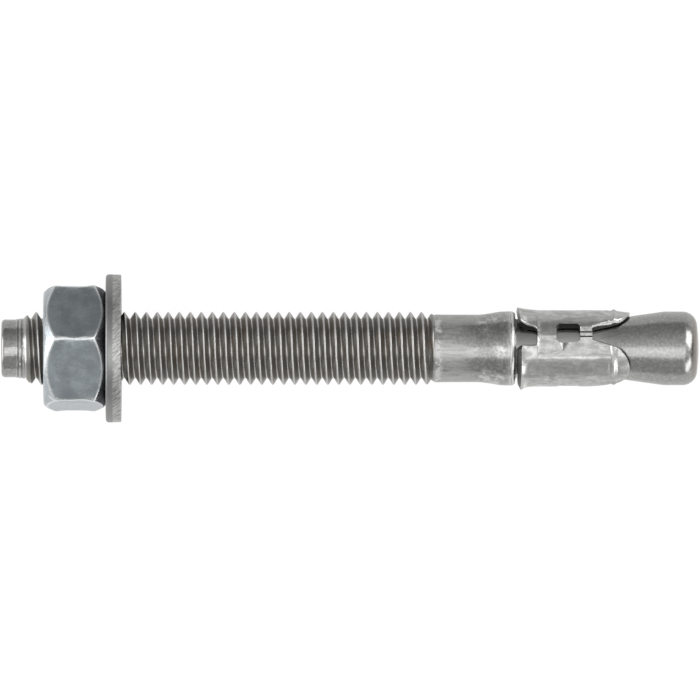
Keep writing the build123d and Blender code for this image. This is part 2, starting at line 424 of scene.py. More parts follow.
def boltSteel():
    p = pin
    r = Recipe(bpy.data.materials.new("rolledSteel"))
    local = r.local()
    station, back, height = r.parts(local)
    radius = (back * back + height * height) ** 0.5
    grain = r.noise(local, 2.4, 4, 0.6)
    speckle = r.noise(local, 5.0, 3, 0.6)
    patches = r.noise(local, 0.55, 3, 0.6)
    drawn = r.noise(r.stretch(local, 0.4, 3.2, 3.2), 0.9, 3, 0.5)
    latheMarks = r.noise(r.stretch(local, 8.0, 0.4, 0.4), 1.0, 4, 0.6)
    scratch = r.noise(r.stretch(local, 2.5, 0.9, 0.9), 1.6, 3, 0.5, 2.5)
    inThread, onRings, firstRing, shank, taper, collarEnd, neck = (r.band(station, *p[name]) for name in (
        "onThread", "onRings", "onFirstRing", "onShank", "onTaper", "onCollarEnd", "onNeck"))
    flank = r.band(radius, *p["onFlank"]) * inThread
    crest = r.step(radius, 4.86, 4.94) * inThread
    root = r.step(radius, 4.11, 4.06) * inThread
    dog = r.step(station, 2.3, 2.0)
    head = r.step(station, 81.0, 84.0)
    # turned rings at the dog's end; their colour has painted shade in the grooves and painted highlight on
    # the ridges and the first ring
    rings = r.maths("SINE", (station - p["ringStart"]) * (fullTurn / p["ringStep"]))
    # rough bright smears where the thread runs out into the shank, and at the collar's end
    rolled = r.step(station, 59.0, 59.2) * r.step(station + patches * 3, 61.9, 61.2)
    rolled = rolled * r.step(patches + grain * 0.5, 0.70, 0.80) * 0.8
    rolled = rolled + collarEnd * r.step(latheMarks, 0.40, 0.56)
    # dull and bright blotches on the beaten taper, and rust stains in the thread
    blotch = patches + grain * 0.3
    stain = r.step(r.noise(local, 0.35, 2, 0.5), 0.52, 0.66) * flank * 0.4
    base = r.coat(p, "steel", [
        (r.step(grain, 0.32, 0.72), "steelBright"),
        (shank * r.step(drawn, 0.35, 0.6), "shank"),
        # painted light: the neck's colour is lightened where the clip shades it, and painted shade darkens
        # it again towards the notch by the collar
        (neck, "neck"),
        (neck * r.step(station, 74.5, 73.0) * 0.7, "steel"),
        (r.step(drawn, 0.56, 0.70) * (0.4 - head * 0.25), "steelDull"),
        (r.step(speckle, 0.67, 0.73) * 0.7, "pit"),
        # painted shade in the rings' grooves; painted highlight on their ridges and on the first ring
        (r.step(rings, 0.0, -0.8) * onRings * 0.55, "pit"),
        (r.step(rings, 0.2, 0.9) * onRings * 0.45 + firstRing * 0.15, "smearAndHighlight"),
        # the thread's flanks carry painted shade, its crests and roots painted highlights
        (flank, "flank"),
        (crest * r.step(grain, 0.3, 0.5, 0.5, 1.0), "crestHighlight"),
        (root, "rootHighlight"),
        (rolled * 0.95, "smearAndHighlight"),
        (taper * r.step(blotch, 0.66, 0.52) * 0.5, "steelDull"),
        (taper * r.step(blotch, 0.68, 0.80) * 0.5, "smearAndHighlight"),
        (r.step(station, 93.7, 94.5) * 0.55, "rust"),
        (stain, "rust"),
    ])
    rough = r.step(grain, 0.3, 0.7, 0.18, 0.25) + flank * 0.13 + crest * 0.14 + shank * 0.2 - dog * 0.09
    rough = rough + rolled * 0.24 + root * 0.06
    line = r.maths("ABSOLUTE", scratch - 0.5)
    relief = drawn * (0.35 - head * 0.2) + latheMarks * 0.12 + r.step(line, 0.010, 0.0) * -0.15
    return r.metal(base, rough, relief, 0.25, 0.00005)


def makePin():
    p = pin
    shank, collar, neck, head = p["shankRadius"], p["collarRadius"], p["neckRadius"], p["headRadius"]
    first = boltLine["crestPhase"]
    last = first + pitch * (p["threadTurns"] + 1)
    endFace = arc((p["dogEdge"], p["dogRadius"] - p["dogEdge"]), p["dogEdge"], 180, 90, 8)
    front = np.concatenate([[[0, 0], [0, 1.2], [0, 2.4], [0, 3.2]], endFace, [[first, p["dogRadius"]]]])
    domeCentre = p["length"] - p["domeRadius"]
    inset = head - p["headCorner"]
    cornerStation = domeCentre + math.sqrt((p["domeRadius"] - p["headCorner"]) ** 2 - inset ** 2)
    turn = math.degrees(math.atan2(inset, cornerStation - domeCentre))
    taper = np.linspace(p["taperStart"], p["taperEnd"], 16)
    taperRadius = shank + (collar - shank) * soften(taper, p["taperStart"] - 0.1, p["taperEnd"])
    stop, cone, coneEnd = p["shoulderEnd"], p["coneStart"], p["coneEnd"]
    back = np.concatenate([
        [[last, shank], [62.0, shank - 0.01], [64.6, shank]],
        np.column_stack([taper, taperRadius]),
        arc((stop - p["shoulder"], collar - p["shoulder"]), p["shoulder"], 90, 34, 8),
        [[stop - 0.07, neck + 0.12], [stop - 0.03, neck + 0.03], [stop + 0.07, neck]],
        [[cone - 0.3, neck], [cone, neck + 0.01], [cone + 0.3, neck + 0.042]],
        [[coneEnd - 0.3, head - 0.042], [coneEnd, head - 0.008], [coneEnd + 0.4, head]],
        arc((cornerStation, inset), p["headCorner"], 90, turn, 12),
        arc((domeCentre, 0), p["domeRadius"], turn, 0, 9)[1:],
    ])
    back[-1, 1] = 0
    skins = [
        roundSkin(refine(front, 0.5), p["columns"]),
        helixSkin(first, p["threadTurns"], p["columns"], thread["rows"], pinRadius),
        roundSkin(refine(back, 0.35), p["columns"], beatenPin),
    ]
    place(makePiece("anchorPin", skins, 40), "anchor_body", "bolt_steel", boltSteel())


# The hexagon nut: pressed blank, both ends turned down at 45 degrees, threaded bore with countersinks
nut = {
    "start": 5.73,
    "height": 8.45,
    "flatsHalf": 8.0,
    "turn": math.radians(-8.9),  # angle of one corner
    "endCircle": 7.62,
    "bearingCircle": 7.75,
    "cornerRound": math.radians(1.5),
    "edgeRound": 0.19,
    "wander": 0.012,
    "hollow": 0.05,  # how far the pressed flats dip
    "waist": 0.17,  # how far the corners dip between the ends
    "threadGap": 0.06,
    "boreRadius": 4.24,
    "mouth": 5.45,
    "zinc": (0.36, 0.40, 0.425),
    "zincLight": (0.44, 0.485, 0.51),
    "zincPale": (0.54, 0.585, 0.61),
    "zincDark": (0.28, 0.315, 0.34),
    "edgeZinc": (0.93, 0.95, 0.95),
}


def makeNut():
    n = nut
    end = n["start"] + n["height"]
    sixth = fullTurn / 6
    # columns of one flat: close ones round each corner, wide ones between
    near = n["cornerRound"] * np.array([0, 0.35, 0.7, 1.0, 1.6])
    wide = np.linspace(n["cornerRound"] * 2.6, sixth / 2, 7)[:-1]
    half = np.concatenate([near, wide])
    flat = np.concatenate([half, [sixth / 2], sixth - half[:0:-1]])
    fromCorner = np.tile(flat, 6)
    angle = n["turn"] + (np.arange(6)[:, None] * sixth + flat).ravel()
    columns = len(angle)
    evenly = n["turn"] + np.arange(columns) * fullTurn / columns
    fromFlat = fromCorner - sixth / 2
    hexRadius = n["flatsHalf"] / np.cos(fromFlat)
    toCorner = np.minimum(fromCorner, sixth - fromCorner)
    # the corner is rounded off by a parabola inside the rounding angle
    rounding = n["flatsHalf"] * math.tan(sixth / 2) * n["cornerRound"] / 2
    cornersAway = toCorner / n["cornerRound"]
    hexRadius = hexRadius - rounding * unit(1 - cornersAway) ** 2 * 1.15
    edge = unit(1.15 - cornersAway)
    blob = unit(1.3 - cornersAway / 2.2)
    dip = n["hollow"] * np.cos(fromFlat / sixth * math.pi) ** 2
    waist = n["waist"] * unit(1 - cornersAway / 8) ** 2

    rings = []

    def ring(station, radius, wear=0.0, where=angle):
        rings.append([np.broadcast_to(v, (columns,)) for v in (station, radius, wear, where)])

    def turnedEnd(circle, inwards, seat):
        # rows of one end, from the bore to just past the edge between the turned cone and the flats
        ring(seat, n["mouth"], 0.0, evenly)
        ring(seat, 6.3)
        ring(seat, circle - 0.3)
        ring(seat + inwards * 0.03, circle, 0.5)
        depth = hexRadius - circle
        for share in (0.3, 0.6, 0.85):
            ring(seat + inwards * (0.03 + depth * share), circle + depth * share, 0.15)
        # round the edge: place past it and below the flats, as shares of its rounding, and the wear
        r = n["edgeRound"]
        for past, below, worn in ((-0.5, 0.5, 0.55), (0.12, 0.12, 1.0), (0.8, 0, np.maximum(0.6, blob)),
                                  (1.8, 0, np.maximum(edge, 0.8 * blob))):
            ring(seat + inwards * (0.03 + depth + past * r), hexRadius - below * r, worn)

    turnedEnd(n["endCircle"], 1, n["start"])
    firstSide = rings[-1][0]
    backRows = len(rings)
    turnedEnd(n["bearingCircle"], -1, end)
    back = rings[backRows:]
    del rings[backRows:]
    lastSide = back[-1][0]
    for share in (0.12, 0.28, 0.45, 0.62, 0.8):
        bow = math.sin(math.pi * share)
        ring(firstSide + (lastSide - firstSide) * share, hexRadius - dip * bow ** 0.5 - waist * bow, edge)
    rings += back[::-1]
    station, radius, wear, where = (np.array([r[i] for r in rings]) for i in range(4))
    wear = np.maximum(wear, edge[None, :] * (radius > n["endCircle"] + 0.8))
    # the worn corners wander a little
    wander = n["wander"] * np.sin(station * 1.9 + where * 2.3) * unit(1 - cornersAway / 3)
    where = where + wander * soften(radius, 8.3, 8.9)
    outside = (toWorld(station, radius, where).reshape(-1, 3),
               gridFaces(len(rings), columns, True).tolist())

    # the thread inside keeps step with the pin's, a little larger, and opens out at both mouths
    turns = 4
    first = end - pitch * (turns + 1)

    def boreRadius(station, angle):
        form = np.maximum(threadRadius(station, angle) + n["threadGap"], n["boreRadius"])
        depth = np.minimum(station - n["start"], end - station)
        return np.maximum(form, n["mouth"] - depth)

    bore = helixSkin(first, turns, columns, thread["rows"], boreRadius, n["turn"])
    mouthRows = np.linspace([n["start"], 0], [first, 0], 5)
    mouth = roundSkin(mouthRows, columns, lambda s, r, a: boreRadius(s, a), n["turn"])
    skins = [outside, bore, mouth]
    marks = {"edgeWear": np.concatenate([wear.ravel()] + [np.zeros(len(s[0])) for s in skins[1:]])}
    place(makePiece("hexNut", skins, 50, (1, 2), marks), "hex_nut", "nut_zinc", nutZinc())


def nutZinc():
    r = Recipe(bpy.data.materials.new("blueZinc"))
    local = r.local()
    cloud = r.noise(local, 0.5, 5, 0.6)
    grain = r.noise(local, 4.0, 5, 0.65)
    fleck = r.noise(local, 2.4, 3, 0.6)
    edge = r.mark("edgeWear") * r.step(grain, 0.3, 0.55, 0.55, 1.0)
    base = r.coat(nut, "zinc", [
        (r.step(cloud, 0.3, 0.7), "zincLight"),
        (r.step(fleck, 0.60, 0.70) * 0.5, "zincPale"),
        (r.step(fleck, 0.38, 0.30) * 0.45, "zincDark"),
        (edge, "edgeZinc"),
    ])
    rough = r.step(cloud, 0.3, 0.7, 0.20, 0.30) + edge * 0.16
    relief = grain * 0.12 + cloud * 1.6 + fleck * 0.35
    return r.metal(base, rough, relief, 0.3, 0.00007)


# The plain washer: punched sheet with a rolled edge towards the nut and a torn one on the other side
washerForm = {
    "start": 14.22,
    "thickness": 2.1,
    "radius": 10.1,
    "bore": 5.25,
    "roll": 0.42,
    "tornFrom": 15.15,
    "columns": 160,
    "nicks": (0.05, 0.035),  # depth of the short and of the long ones
    "waves": 0.006,
    "twist": 0.08,  # slant of the tear, radians for each millimetre of the rim
    "steel": (0.28, 0.284, 0.28),
    "steelLight": (0.35, 0.352, 0.345),
    # painted shade on the face under the nut
    "face": (0.11, 0.113, 0.11),
    "torn": (0.72, 0.71, 0.69),
    "tornDark": (0.11, 0.107, 0.102),
}


def nicked(station, radius, angle):
    # the torn part of the rim has fine steps and nicks; the rest is nearly smooth
    w = washerForm
    torn = soften(station, w["tornFrom"] - 0.1, w["tornFrom"] + 0.1) * soften(radius, 9.7, 10.0)
    short, long = w["nicks"]
    nicks = wobble(station, angle, 21, 0.55, 12) * short + wobble(station * 0.4, angle, 22, 0.4, 12) * long
    waves = w["waves"] * soften(radius, 9.5, 9.9) * (1 + wobble(station, angle, 23, 2.5))
    return radius - torn * np.abs(nicks) - waves


def washerSteel():
    w = washerForm
    r = Recipe(bpy.data.materials.new("punchedSheet"))
    local = r.local()
    station, back, height = r.parts(local)
    radius = (back * back + height * height) ** 0.5
    torn = r.step(station, w["tornFrom"] - 0.1, w["tornFrom"] + 0.15) * r.step(radius, 9.6, 9.8)
    # the tear runs slantwise over the rim: the pattern is turned about the axis along the way
    twist = station * w["twist"]
    cosine, sine = r.maths("COSINE", twist), r.maths("SINE", twist)
    across, over = back * cosine - height * sine, back * sine + height * cosine
    slant = r.out("CombineXYZ", {0: station * 0.8, 1: across * 3.4, 2: over * 3.4})
    streak = r.noise(slant, 1.5, 5, 0.65, 0.2)
    speckle = r.noise(local, 5.0, 5, 0.7)
    # painted shade on the face under the nut, which the nut's chamfer reflects
    shadeUnderNut = r.step(station, w["start"] + 0.06, w["start"] + 0.02) * r.step(radius, 9.7, 8.8)
    base = r.coat(w, "steel", [
        (r.step(speckle, 0.35, 0.7), "steelLight"),
        (shadeUnderNut, "face"),
        (torn * r.step(streak, 0.36, 0.66) * 0.85, "torn"),
        (torn * r.step(streak, 0.44, 0.32) * 0.6, "tornDark"),
    ])
    rough = r.step(speckle, 0.3, 0.7, 0.34, 0.46)
    return r.metal(base, rough, streak * torn * 1.5 + speckle * 0.15, 0.5, 0.00007)


def makeWasher():
    w = washerForm
    start, rim, bore, roll = w["start"], w["radius"], w["bore"], w["roll"]
    end = start + w["thickness"]
    profile = np.concatenate([
        [[start, bore + 0.18], [start, 6.6], [start, 8.4]],
        arc((start + roll, rim - roll), roll, 180, 90, 9),
        [[start + 1.0, rim], [end - 0.5, rim - 0.02], [end - 0.12, rim - 0.03]],
        [[end - 0.03, rim - 0.05], [end, rim - 0.1], [end - 0.02, rim - 0.3]],
        [[end - 0.02, 8.4], [end - 0.02, 6.6], [end - 0.02, bore + 0.1], [end - 0.1, bore + 0.02]],
        [[start + 0.9, bore], [start + 0.2, bore + 0.02], [start + 0.06, bore + 0.06]],
        [[start, bore + 0.18]],
    ])
    skin = roundSkin(refine(profile, 0.22), w["columns"], nicked)
    place(makePiece("punchedWasher", [skin], 40), "washer", "washer_steel", washerSteel())


# The rolled clip: its sheet in section (station, radius) and its outline (station, half angle of a lobe)
clip = {
    "start": 70.15,
    "end": 85.6,
    "inner": 4.2,
    "outer": 5.2,
    "firstLobe": math.radians(35),
    "lobes": 3,
    "flareEnd": 73.35,
    "flareRise": 0.40,
    "innerFlare": 0.6,
    "innerLean": 0.18,
    "faceLean": 0.32,
    "leanChange": 0.42,
    "lipCorners": (0.80, 0.32),  # rounding of a lobe's corners: front side of a cut-out, far side
    "wallSlope": math.radians(8.5),
    "wallShift": math.radians(2.5),
    "earRise": 0.30,
    "flatMiddle": -38,
    "flatHalf": 17,
    "flatSpan": (72.95, 73.35, 82.85, 83.1),
    "notchEnd": 73.05,
    "notchHalf": math.radians(19.8),
    "notchCorner": 0.55,
    "windowStart": 75.6,
    "windowEnd": 78.85,
    "windowHalf": math.radians(15.5),
    "windowCorner": 0.4,
    "slotStart": 80.5,
    "slotHalf": math.radians(9.9),
    "tipArc": 4.3,
    "tipArcHalf": 3.31,
    "bead": 83.45,
    "beadHeight": 0.15,
    "coneSlope": 0.1404,
    "treadDepth": 0.34,
    "treadStart": -10.5,  # degrees from the middle of the cut-outs
    "treadStep": 7.5,
    "lowTreadDepth": (0.12, 0.31),
    "creaseDepth": 0.12,
    "creases": ((-2.5, 0), (5.1, 7.5)),
    "markStation": 76.5,
    "markDepth": 0.34,
    "markHalf": 0.72,
    "markSpan": 15,  # degrees from its foot to its point
    "seamGap": 0.4,
    "edge": 0.07,
    "lobeColumns": 60,
    "rowStep": 0.15,
    "steel": (0.475, 0.477, 0.47),
    "steelBright": (0.62, 0.62, 0.605),
    "steelDull": (0.35, 0.35, 0.342),
    "pit": (0.26, 0.258, 0.25),
    # painted shade on walls, inside, tread creases and front edges
    "paintedShade": (0.05, 0.049, 0.047),
    # painted highlight on the far edges, band edge, treads, ears and the mark's steep side
    "paintedHighlight": (0.84, 0.84, 0.82),
    "roll": 0.28,  # radius of the rolled-over far edge at the notch, and more at the tip
    "tipRoll": 0.5,
    "rollColumns": 6,
    # painted shade on the inside of the sheet
    "insideShade": 0.3,
}


def lobeHalf(station, far=False):
    # half the angle that a lobe's sheet takes up at a station: between notches, windows and slots; on
    # the far side the notch's wall slopes and its lip corner is tighter
    c = clip
    r = c["outer"]
    tipCentre = c["end"] - c["tipArc"]
    ends = [c[name] for name in ("notchEnd", "windowStart", "windowEnd", "slotStart")]
    ends.append(tipCentre + math.sqrt(c["tipArc"] ** 2 - c["tipArcHalf"] ** 2))
    corner, cut, lip = c["notchCorner"], c["windowCorner"], c["lipCorners"][1 if far else 0]

    def beside(opening, more=0):
        # the half angle left beside an opening, and so many millimetres more
        return math.pi / c["lobes"] - c[opening] + more / r

    # rounded corners: those at the notch's end add sheet, those at the lip take some away
    into = np.clip(station - (c["notchEnd"] - corner), 0, corner)
    toEnd = np.clip(c["start"] + lip - station, 0, lip)
    corners = corner - np.sqrt(corner ** 2 - into ** 2) - lip + np.sqrt(lip ** 2 - toEnd ** 2)
    alongWall = unit((station - c["start"]) / (c["notchEnd"] - c["start"]))
    notch = beside("notchHalf", corners) + far * (c["wallShift"] + c["wallSlope"] * alongWall)
    nearEnd = np.clip(cut - np.minimum(station - c["windowStart"], c["windowEnd"] - station), 0, cut)
    bandStart = beside("notchHalf", corner) + far * (c["wallShift"] + c["wallSlope"])
    band = np.interp(station, ends[:2], [bandStart, beside("windowHalf", cut)])
    link = np.interp(station, ends[2:4], [beside("windowHalf", cut), beside("slotHalf")])
    flank = np.interp(station, ends[3:], [beside("slotHalf"), c["tipArcHalf"] / r])
    tip = np.sqrt(np.clip(c["tipArc"] ** 2 - (station - tipCentre) ** 2, 0.09, None)) / r
    return np.select([station <= end for end in ends],
                     [notch, band, beside("windowHalf", nearEnd), link, flank], tip)


def degreesFrom(angle, middle):
    # degrees from the nearest of the lobes' middles, shifted by so many degrees
    share = 360 / clip["lobes"]
    return (np.degrees(angle - clip["firstLobe"]) - middle + share / 2) % share - share / 2


def inCreases(fromCut):
    return np.any([(fromCut > low) & (fromCut < high) for low, high in clip["creases"]], axis=0)


def overMark(station, fromCut):
    # place on a triangular mark: share of the way from foot to point, and share of its half width there
    run = (fromCut - math.degrees(clip["windowHalf"])) / clip["markSpan"]
    return run, (station - clip["markStation"]) / np.maximum(clip["markHalf"] * unit(1 - run), 1e-3)


def toEdges(station, angle):
    # millimetres to the lobe's far edge and to its front edge, along the sheet
    fromLobe = np.radians(degreesFrom(angle, 0))
    toFar, toFront = lobeHalf(station, True) - fromLobe, lobeHalf(station) + fromLobe
    return toFar * clip["outer"], toFront * clip["outer"]


def clipRadii(station, angle):
    # outer and inner radius of the sheet, each a plain barrel plus the forms pressed into it
    c = clip
    fromLobe, fromCut = degreesFrom(angle, 0), degreesFrom(angle, 180 / c["lobes"])
    lobeShare = np.radians(fromLobe) / lobeHalf(np.full_like(station, c["start"] + 0.5))
    fromStart, fromBead = station - c["start"], station - c["bead"]
    toLip = unit(1 - fromStart / (c["flareEnd"] - c["start"]))
    outer = c["outer"] + c["flareRise"] * toLip ** 1.5
    inner = c["inner"] + c["innerFlare"] * unit(1 - fromStart / 1.75) ** 1.6
    # ear: the far corner of each lobe's lip stands out
    ear = c["earRise"] * unit(lobeShare) ** 4 * unit(1 - fromStart / 1.7) ** 1.3
    outer, inner = outer + ear, inner + ear * 0.9
    # a flat between lobe and cut-outs, where the strip was bent less: radius = height / cos(angle)
    fromFlat = np.radians(degreesFrom(angle, c["flatMiddle"]))
    chord = c["outer"] * math.cos(math.radians(c["flatHalf"])) / np.cos(fromFlat)
    flat = np.maximum(outer - chord, 0) * (np.abs(fromFlat) < 0.5) * within(station, *c["flatSpan"])
    outer, inner = outer - flat, inner - 0.4 * flat
    # bead, and tips that thin out and follow the cone
    outer = outer + c["beadHeight"] * np.exp(-(fromBead / 0.21) ** 2)
    outer = outer - 0.07 * np.exp(-((fromBead + 0.5) / 0.2) ** 2)
    outer = outer - 0.10 * soften(fromBead, 0.15, 0.5) - 0.22 * unit((fromBead - 0.4) / 1.75) ** 1.2
    inner = inner + np.maximum(station - pin["coneStart"], 0) * c["coneSlope"]
    # the link between window and slot is pressed into two treads, with a crease at the foot of each step
    onHigh = (fromCut < 0) * unit(1 - fromCut / c["treadStart"])
    onLow = (fromCut >= 0) & (fromCut < c["treadStep"])
    start, foot = c["lowTreadDepth"]
    tread = c["treadDepth"] * onHigh + onLow * (start + (foot - start) * fromCut / c["treadStep"])
    begin, stop = c["windowEnd"], c["slotStart"]
    inLink = within(station, begin - 0.02, begin + 0.02, stop - 0.02, stop + 0.02)
    outer = outer - (tread + c["creaseDepth"] * inCreases(fromCut)) * inLink
    inner = inner - 0.3 * tread * inLink
    # triangular mark beside each window
    run, off = overMark(station, fromCut)
    mark = unit(1 - np.maximum(-2.2 * off, off)) * unit(1 - run)
    outer = outer - c["markDepth"] * np.where((run < -0.2) | (run > 1), 0, mark)
    # the far edge of each lobe is rolled over, depth = reach - root(reach^2 - x^2)
    reach = c["roll"] + (c["tipRoll"] - c["roll"]) * soften(station, 81.0, 82.5)
    reach = reach * (1 - within(station, 73.0, 73.2, stop - 0.05, stop))
    reach = np.minimum(reach, 0.75 * (outer - inner))
    x = np.maximum(reach - np.maximum(toEdges(station, angle)[0], 0), 0)
    outer = outer - (reach - np.sqrt(np.maximum(reach ** 2 - x ** 2, 0))) * (np.radians(fromLobe) > -0.2)
    # beaten unevenness, more at the lip
    uneven = 0.014 * wobble(station, angle, 31, 3.4) + 0.010 * wobble(station, angle, 32, 1.3, 9)
    uneven = uneven * (1 + 1.6 * toLip + 1.2 * soften(station, 83.6, 84.4))
    return outer + uneven, inner


def clipRows():
    # stations of the outline's breaks and even steps between them, closer round the corners and tips
    c = clip
    tipTurn = np.linspace(math.asin(c["tipArcHalf"] / c["tipArc"]), math.radians(4), 18)
    tipRows = c["end"] - c["tipArc"] * (1 - np.cos(tipTurn))
    quarter = np.linspace(0, math.pi / 2, 7)
    lipRows = np.concatenate([c["start"] + lip * (1 - np.sin(quarter)) for lip in c["lipCorners"]])
    cornerRows = c["notchEnd"] - c["notchCorner"] * (1 - np.sin(quarter))
    breaks = [c["notchEnd"], c["windowStart"], c["windowStart"] + c["windowCorner"],
              c["windowEnd"] - c["windowCorner"], c["windowEnd"], c["slotStart"], tipRows[0]]
    runs = [(c["start"] + c["lipCorners"][0], c["notchEnd"] - c["notchCorner"])]
    rows = [lipRows, cornerRows, tipRows, [c["windowEnd"] + 0.05, c["slotStart"] - 0.05]]
    for low, high in runs + list(zip(breaks[:-1], breaks[1:])):
        rows.append(np.linspace(low, high, max(2, int((high - low) / c["rowStep"]) + 1)))
    return np.unique(np.round(np.concatenate(rows), 6))


def turnAbout(angle):
    # the mean angle of each face's corners
    return np.arctan2(np.sin(angle).mean(axis=1), np.cos(angle).mean(axis=1))


def clipWear(station, angle):
    # the clip's outside gets painted highlights along the far edges, the band's edge, the treads and the
    # ears, and painted shade in the creases of the treads and as a dark line along the front edges
    c = clip
    fromCut = degreesFrom(angle, 180 / c["lobes"])
    toFar, toFront = toEdges(station, angle)
    inLink = (station > c["windowEnd"]) & (station < c["slotStart"])
    inLink = inLink & (fromCut > c["treadStart"]) & (fromCut < c["treadStep"])
    isOpen = (station < c["notchEnd"]) | (station > c["slotStart"])
    # painted shade as a dark line along the front edges
    frontEdgeShade = isOpen & (toFront > 0) & (toFront < 0.13) & (station > c["start"] + 0.5)
    rim = isOpen * unit(1.25 - toFar / 0.42) * (toFar > -1e-3) * (station > c["start"] + 0.2)
    rim = rim * np.where(station > c["slotStart"], 0.40, 0.58)
    bandEdge = (np.abs(fromCut) < 20) & (station > c["notchEnd"] - 1e-4) & (station < c["notchEnd"] + 0.32)
    spot = np.exp(-((toFront - 0.37) / 0.26) ** 2 - ((station - 71.3) / 0.3) ** 2)
    earWide = np.where(np.cos(angle - c["firstLobe"]) > 0, 0.95, 0.5)
    ear = np.exp(-((station - c["start"] - 1.05) / 0.42) ** 2 - ((toFar - earWide) / earWide) ** 2)
    # the triangular mark has painted highlight on its steep side and painted shade on its gentle one
    run, off = overMark(station, fromCut)
    inMark = (run > -0.02) & (run < 0.92)
    darkSide = inMark * within(off, 0.0, 0.15, 0.8, 1.0)
    lightSide = inMark * within(off, -0.55, -0.35, -0.1, 0.0) * (run < 0.5)
    # painted highlights on rims, band edge, treads, corner spot, ears and the mark's steep side
    bright = [rim, bandEdge * 0.65, inLink * 0.5, spot, ear * 1.4, lightSide * 0.9]
    return {
        "paintedHighlight": np.maximum.reduce(bright),
        "shaded": darkSide * 0.5,
        "cut": np.maximum((inCreases(fromCut) & inLink) * 0.9, frontEdgeShade * 0.8),
    }


def makeClip():
    c = clip
    third = math.pi / c["lobes"]
    rows = clipRows()
    patches = []

    def patch(some, stops, counts):
        # a strip of sheet between edge angles, each a row of angles, with so many steps between them
        angle = [stops[0][:, None]]
        for low, high, count in zip(stops[:-1], stops[1:], counts):
            angle.append(low[:, None] + (high - low)[:, None] * np.arange(1, count + 1) / count)
        angle = np.concatenate(angle, axis=1)
        patches.append((np.broadcast_to(some[:, None], angle.shape), angle))

    for k in range(c["lobes"]):
        middle = c["firstLobe"] + k * 2 * third
        far = lobeHalf(rows, True)
        roll = np.minimum(c["tipRoll"] / c["outer"], 0.45 * far)
        patch(rows, [middle - lobeHalf(rows), middle + far - roll, middle + far],
              [c["lobeColumns"], c["rollColumns"]])
        for begin, stop in ((c["notchEnd"], c["windowStart"]), (c["windowEnd"], c["slotStart"])):
            some = rows[(rows > begin - 1e-6) & (rows < stop + 1e-6)]
            near = middle + lobeHalf(some, True)
            far = middle + 2 * third - lobeHalf(some)
            # degrees from the middle of the cut-outs to the creases and steps of the treads
            gap = math.degrees(c["seamGap"] / 2 / c["outer"]) if k == 1 else 0.05
            high = [-3.3, -2.4, -gap]
            low = [gap, 4.5, 5.2, c["treadStep"] - 0.05, c["treadStep"] + 0.05]
            high, low = ([np.full(len(some), middle + third + math.radians(v)) for v in side]
                         for side in (high, low))
            highCounts, lowCounts = [7, 1, 1 if k == 1 else 2], [4, 1, 2, 1, 4]
            if begin == c["notchEnd"]:  # no treads in the band between notch and window
                high, low, highCounts, lowCounts = high[-1:], low[:1], [10], [11]
            if k == 1:  # the open seam where the rolled strip meets itself
                patch(some, [near] + high, highCounts)
                patch(some, low + [far], lowCounts)
            else:
                patch(some, [near] + high + low + [far], highCounts + [1] + lowCounts)

    quads, base = [], 0
    for station, _ in patches:
        quads.append(gridFaces(*station.shape, False) + base)
        base += station.size
    station, angle = (np.concatenate([values.ravel() for values in both]) for both in zip(*patches))
    quads = np.concatenate(quads)
    # shared borders become one row of points
    key = np.round(np.column_stack([station, np.cos(angle) * 50, np.sin(angle) * 50]), 4)
    _, keep, same = np.unique(key, axis=0, return_index=True, return_inverse=True)
    station, angle, quads = station[keep], angle[keep], same.ravel()[quads]

    outer, inner = clipRadii(station, angle)
    # the lip's end face leans: the outer skin starts further along than the inner one
    toLip = unit((c["start"] + 1.6 - station) / 1.6) ** 1.5
    lean = c["faceLean"] + c["leanChange"] * np.cos(angle - math.radians(15))
    points = np.concatenate([toWorld(station + lean * toLip, outer, angle),
                             toWorld(station + c["innerLean"] * toLip, inner, angle)])
    count = len(station)
    edges = np.concatenate([quads[:, [0, 1]], quads[:, [1, 2]], quads[:, [2, 3]], quads[:, [3, 0]]])
    code = np.sort(edges, axis=1) @ np.array([count, 1])
    _, index, seen = np.unique(code, return_index=True, return_counts=True)
    border = edges[index[seen == 1]]
    walls = np.column_stack([border[:, 1], border[:, 0], border[:, 0] + count, border[:, 1] + count])
    faces = quads.tolist() + (quads[:, ::-1] + count).tolist() + walls.tolist()
    outside = clipWear(station, angle)
    onFaces = clipWear(station[quads].mean(axis=1), turnAbout(angle[quads]))
    # painted shade on the walls and the inside; the lip's end face is shaded darkest on the first lobe
    wallStation, wallAngle = station[border].mean(axis=1), turnAbout(angle[border])
    lipShine = np.where(np.cos(wallAngle - c["firstLobe"]) > 0.5, 0.15, 0.5)
    walls = 1 - (wallStation < c["start"] + 0.02) * lipShine - 0.12 * (wallStation > c["slotStart"])
    paintedShade = np.concatenate([onFaces["cut"], np.full(len(quads), c["insideShade"]), walls])
    marks = {label: np.concatenate([outside[label], np.zeros(count)]) for label in ("paintedHighlight", "shaded")}
    piece = makePiece("rolledClip", [(points, faces)], 35, (), marks, {"paintedShade": paintedShade})
    bevel = piece.modifiers.new("softEdges", "BEVEL")
    bevel.width = c["edge"] / 1000
    bevel.segments = 2
    bevel.limit_method = "ANGLE"
    bevel.angle_limit = math.radians(50)
    place(piece, "expansion_clip", "clip_steel", clipSteel())


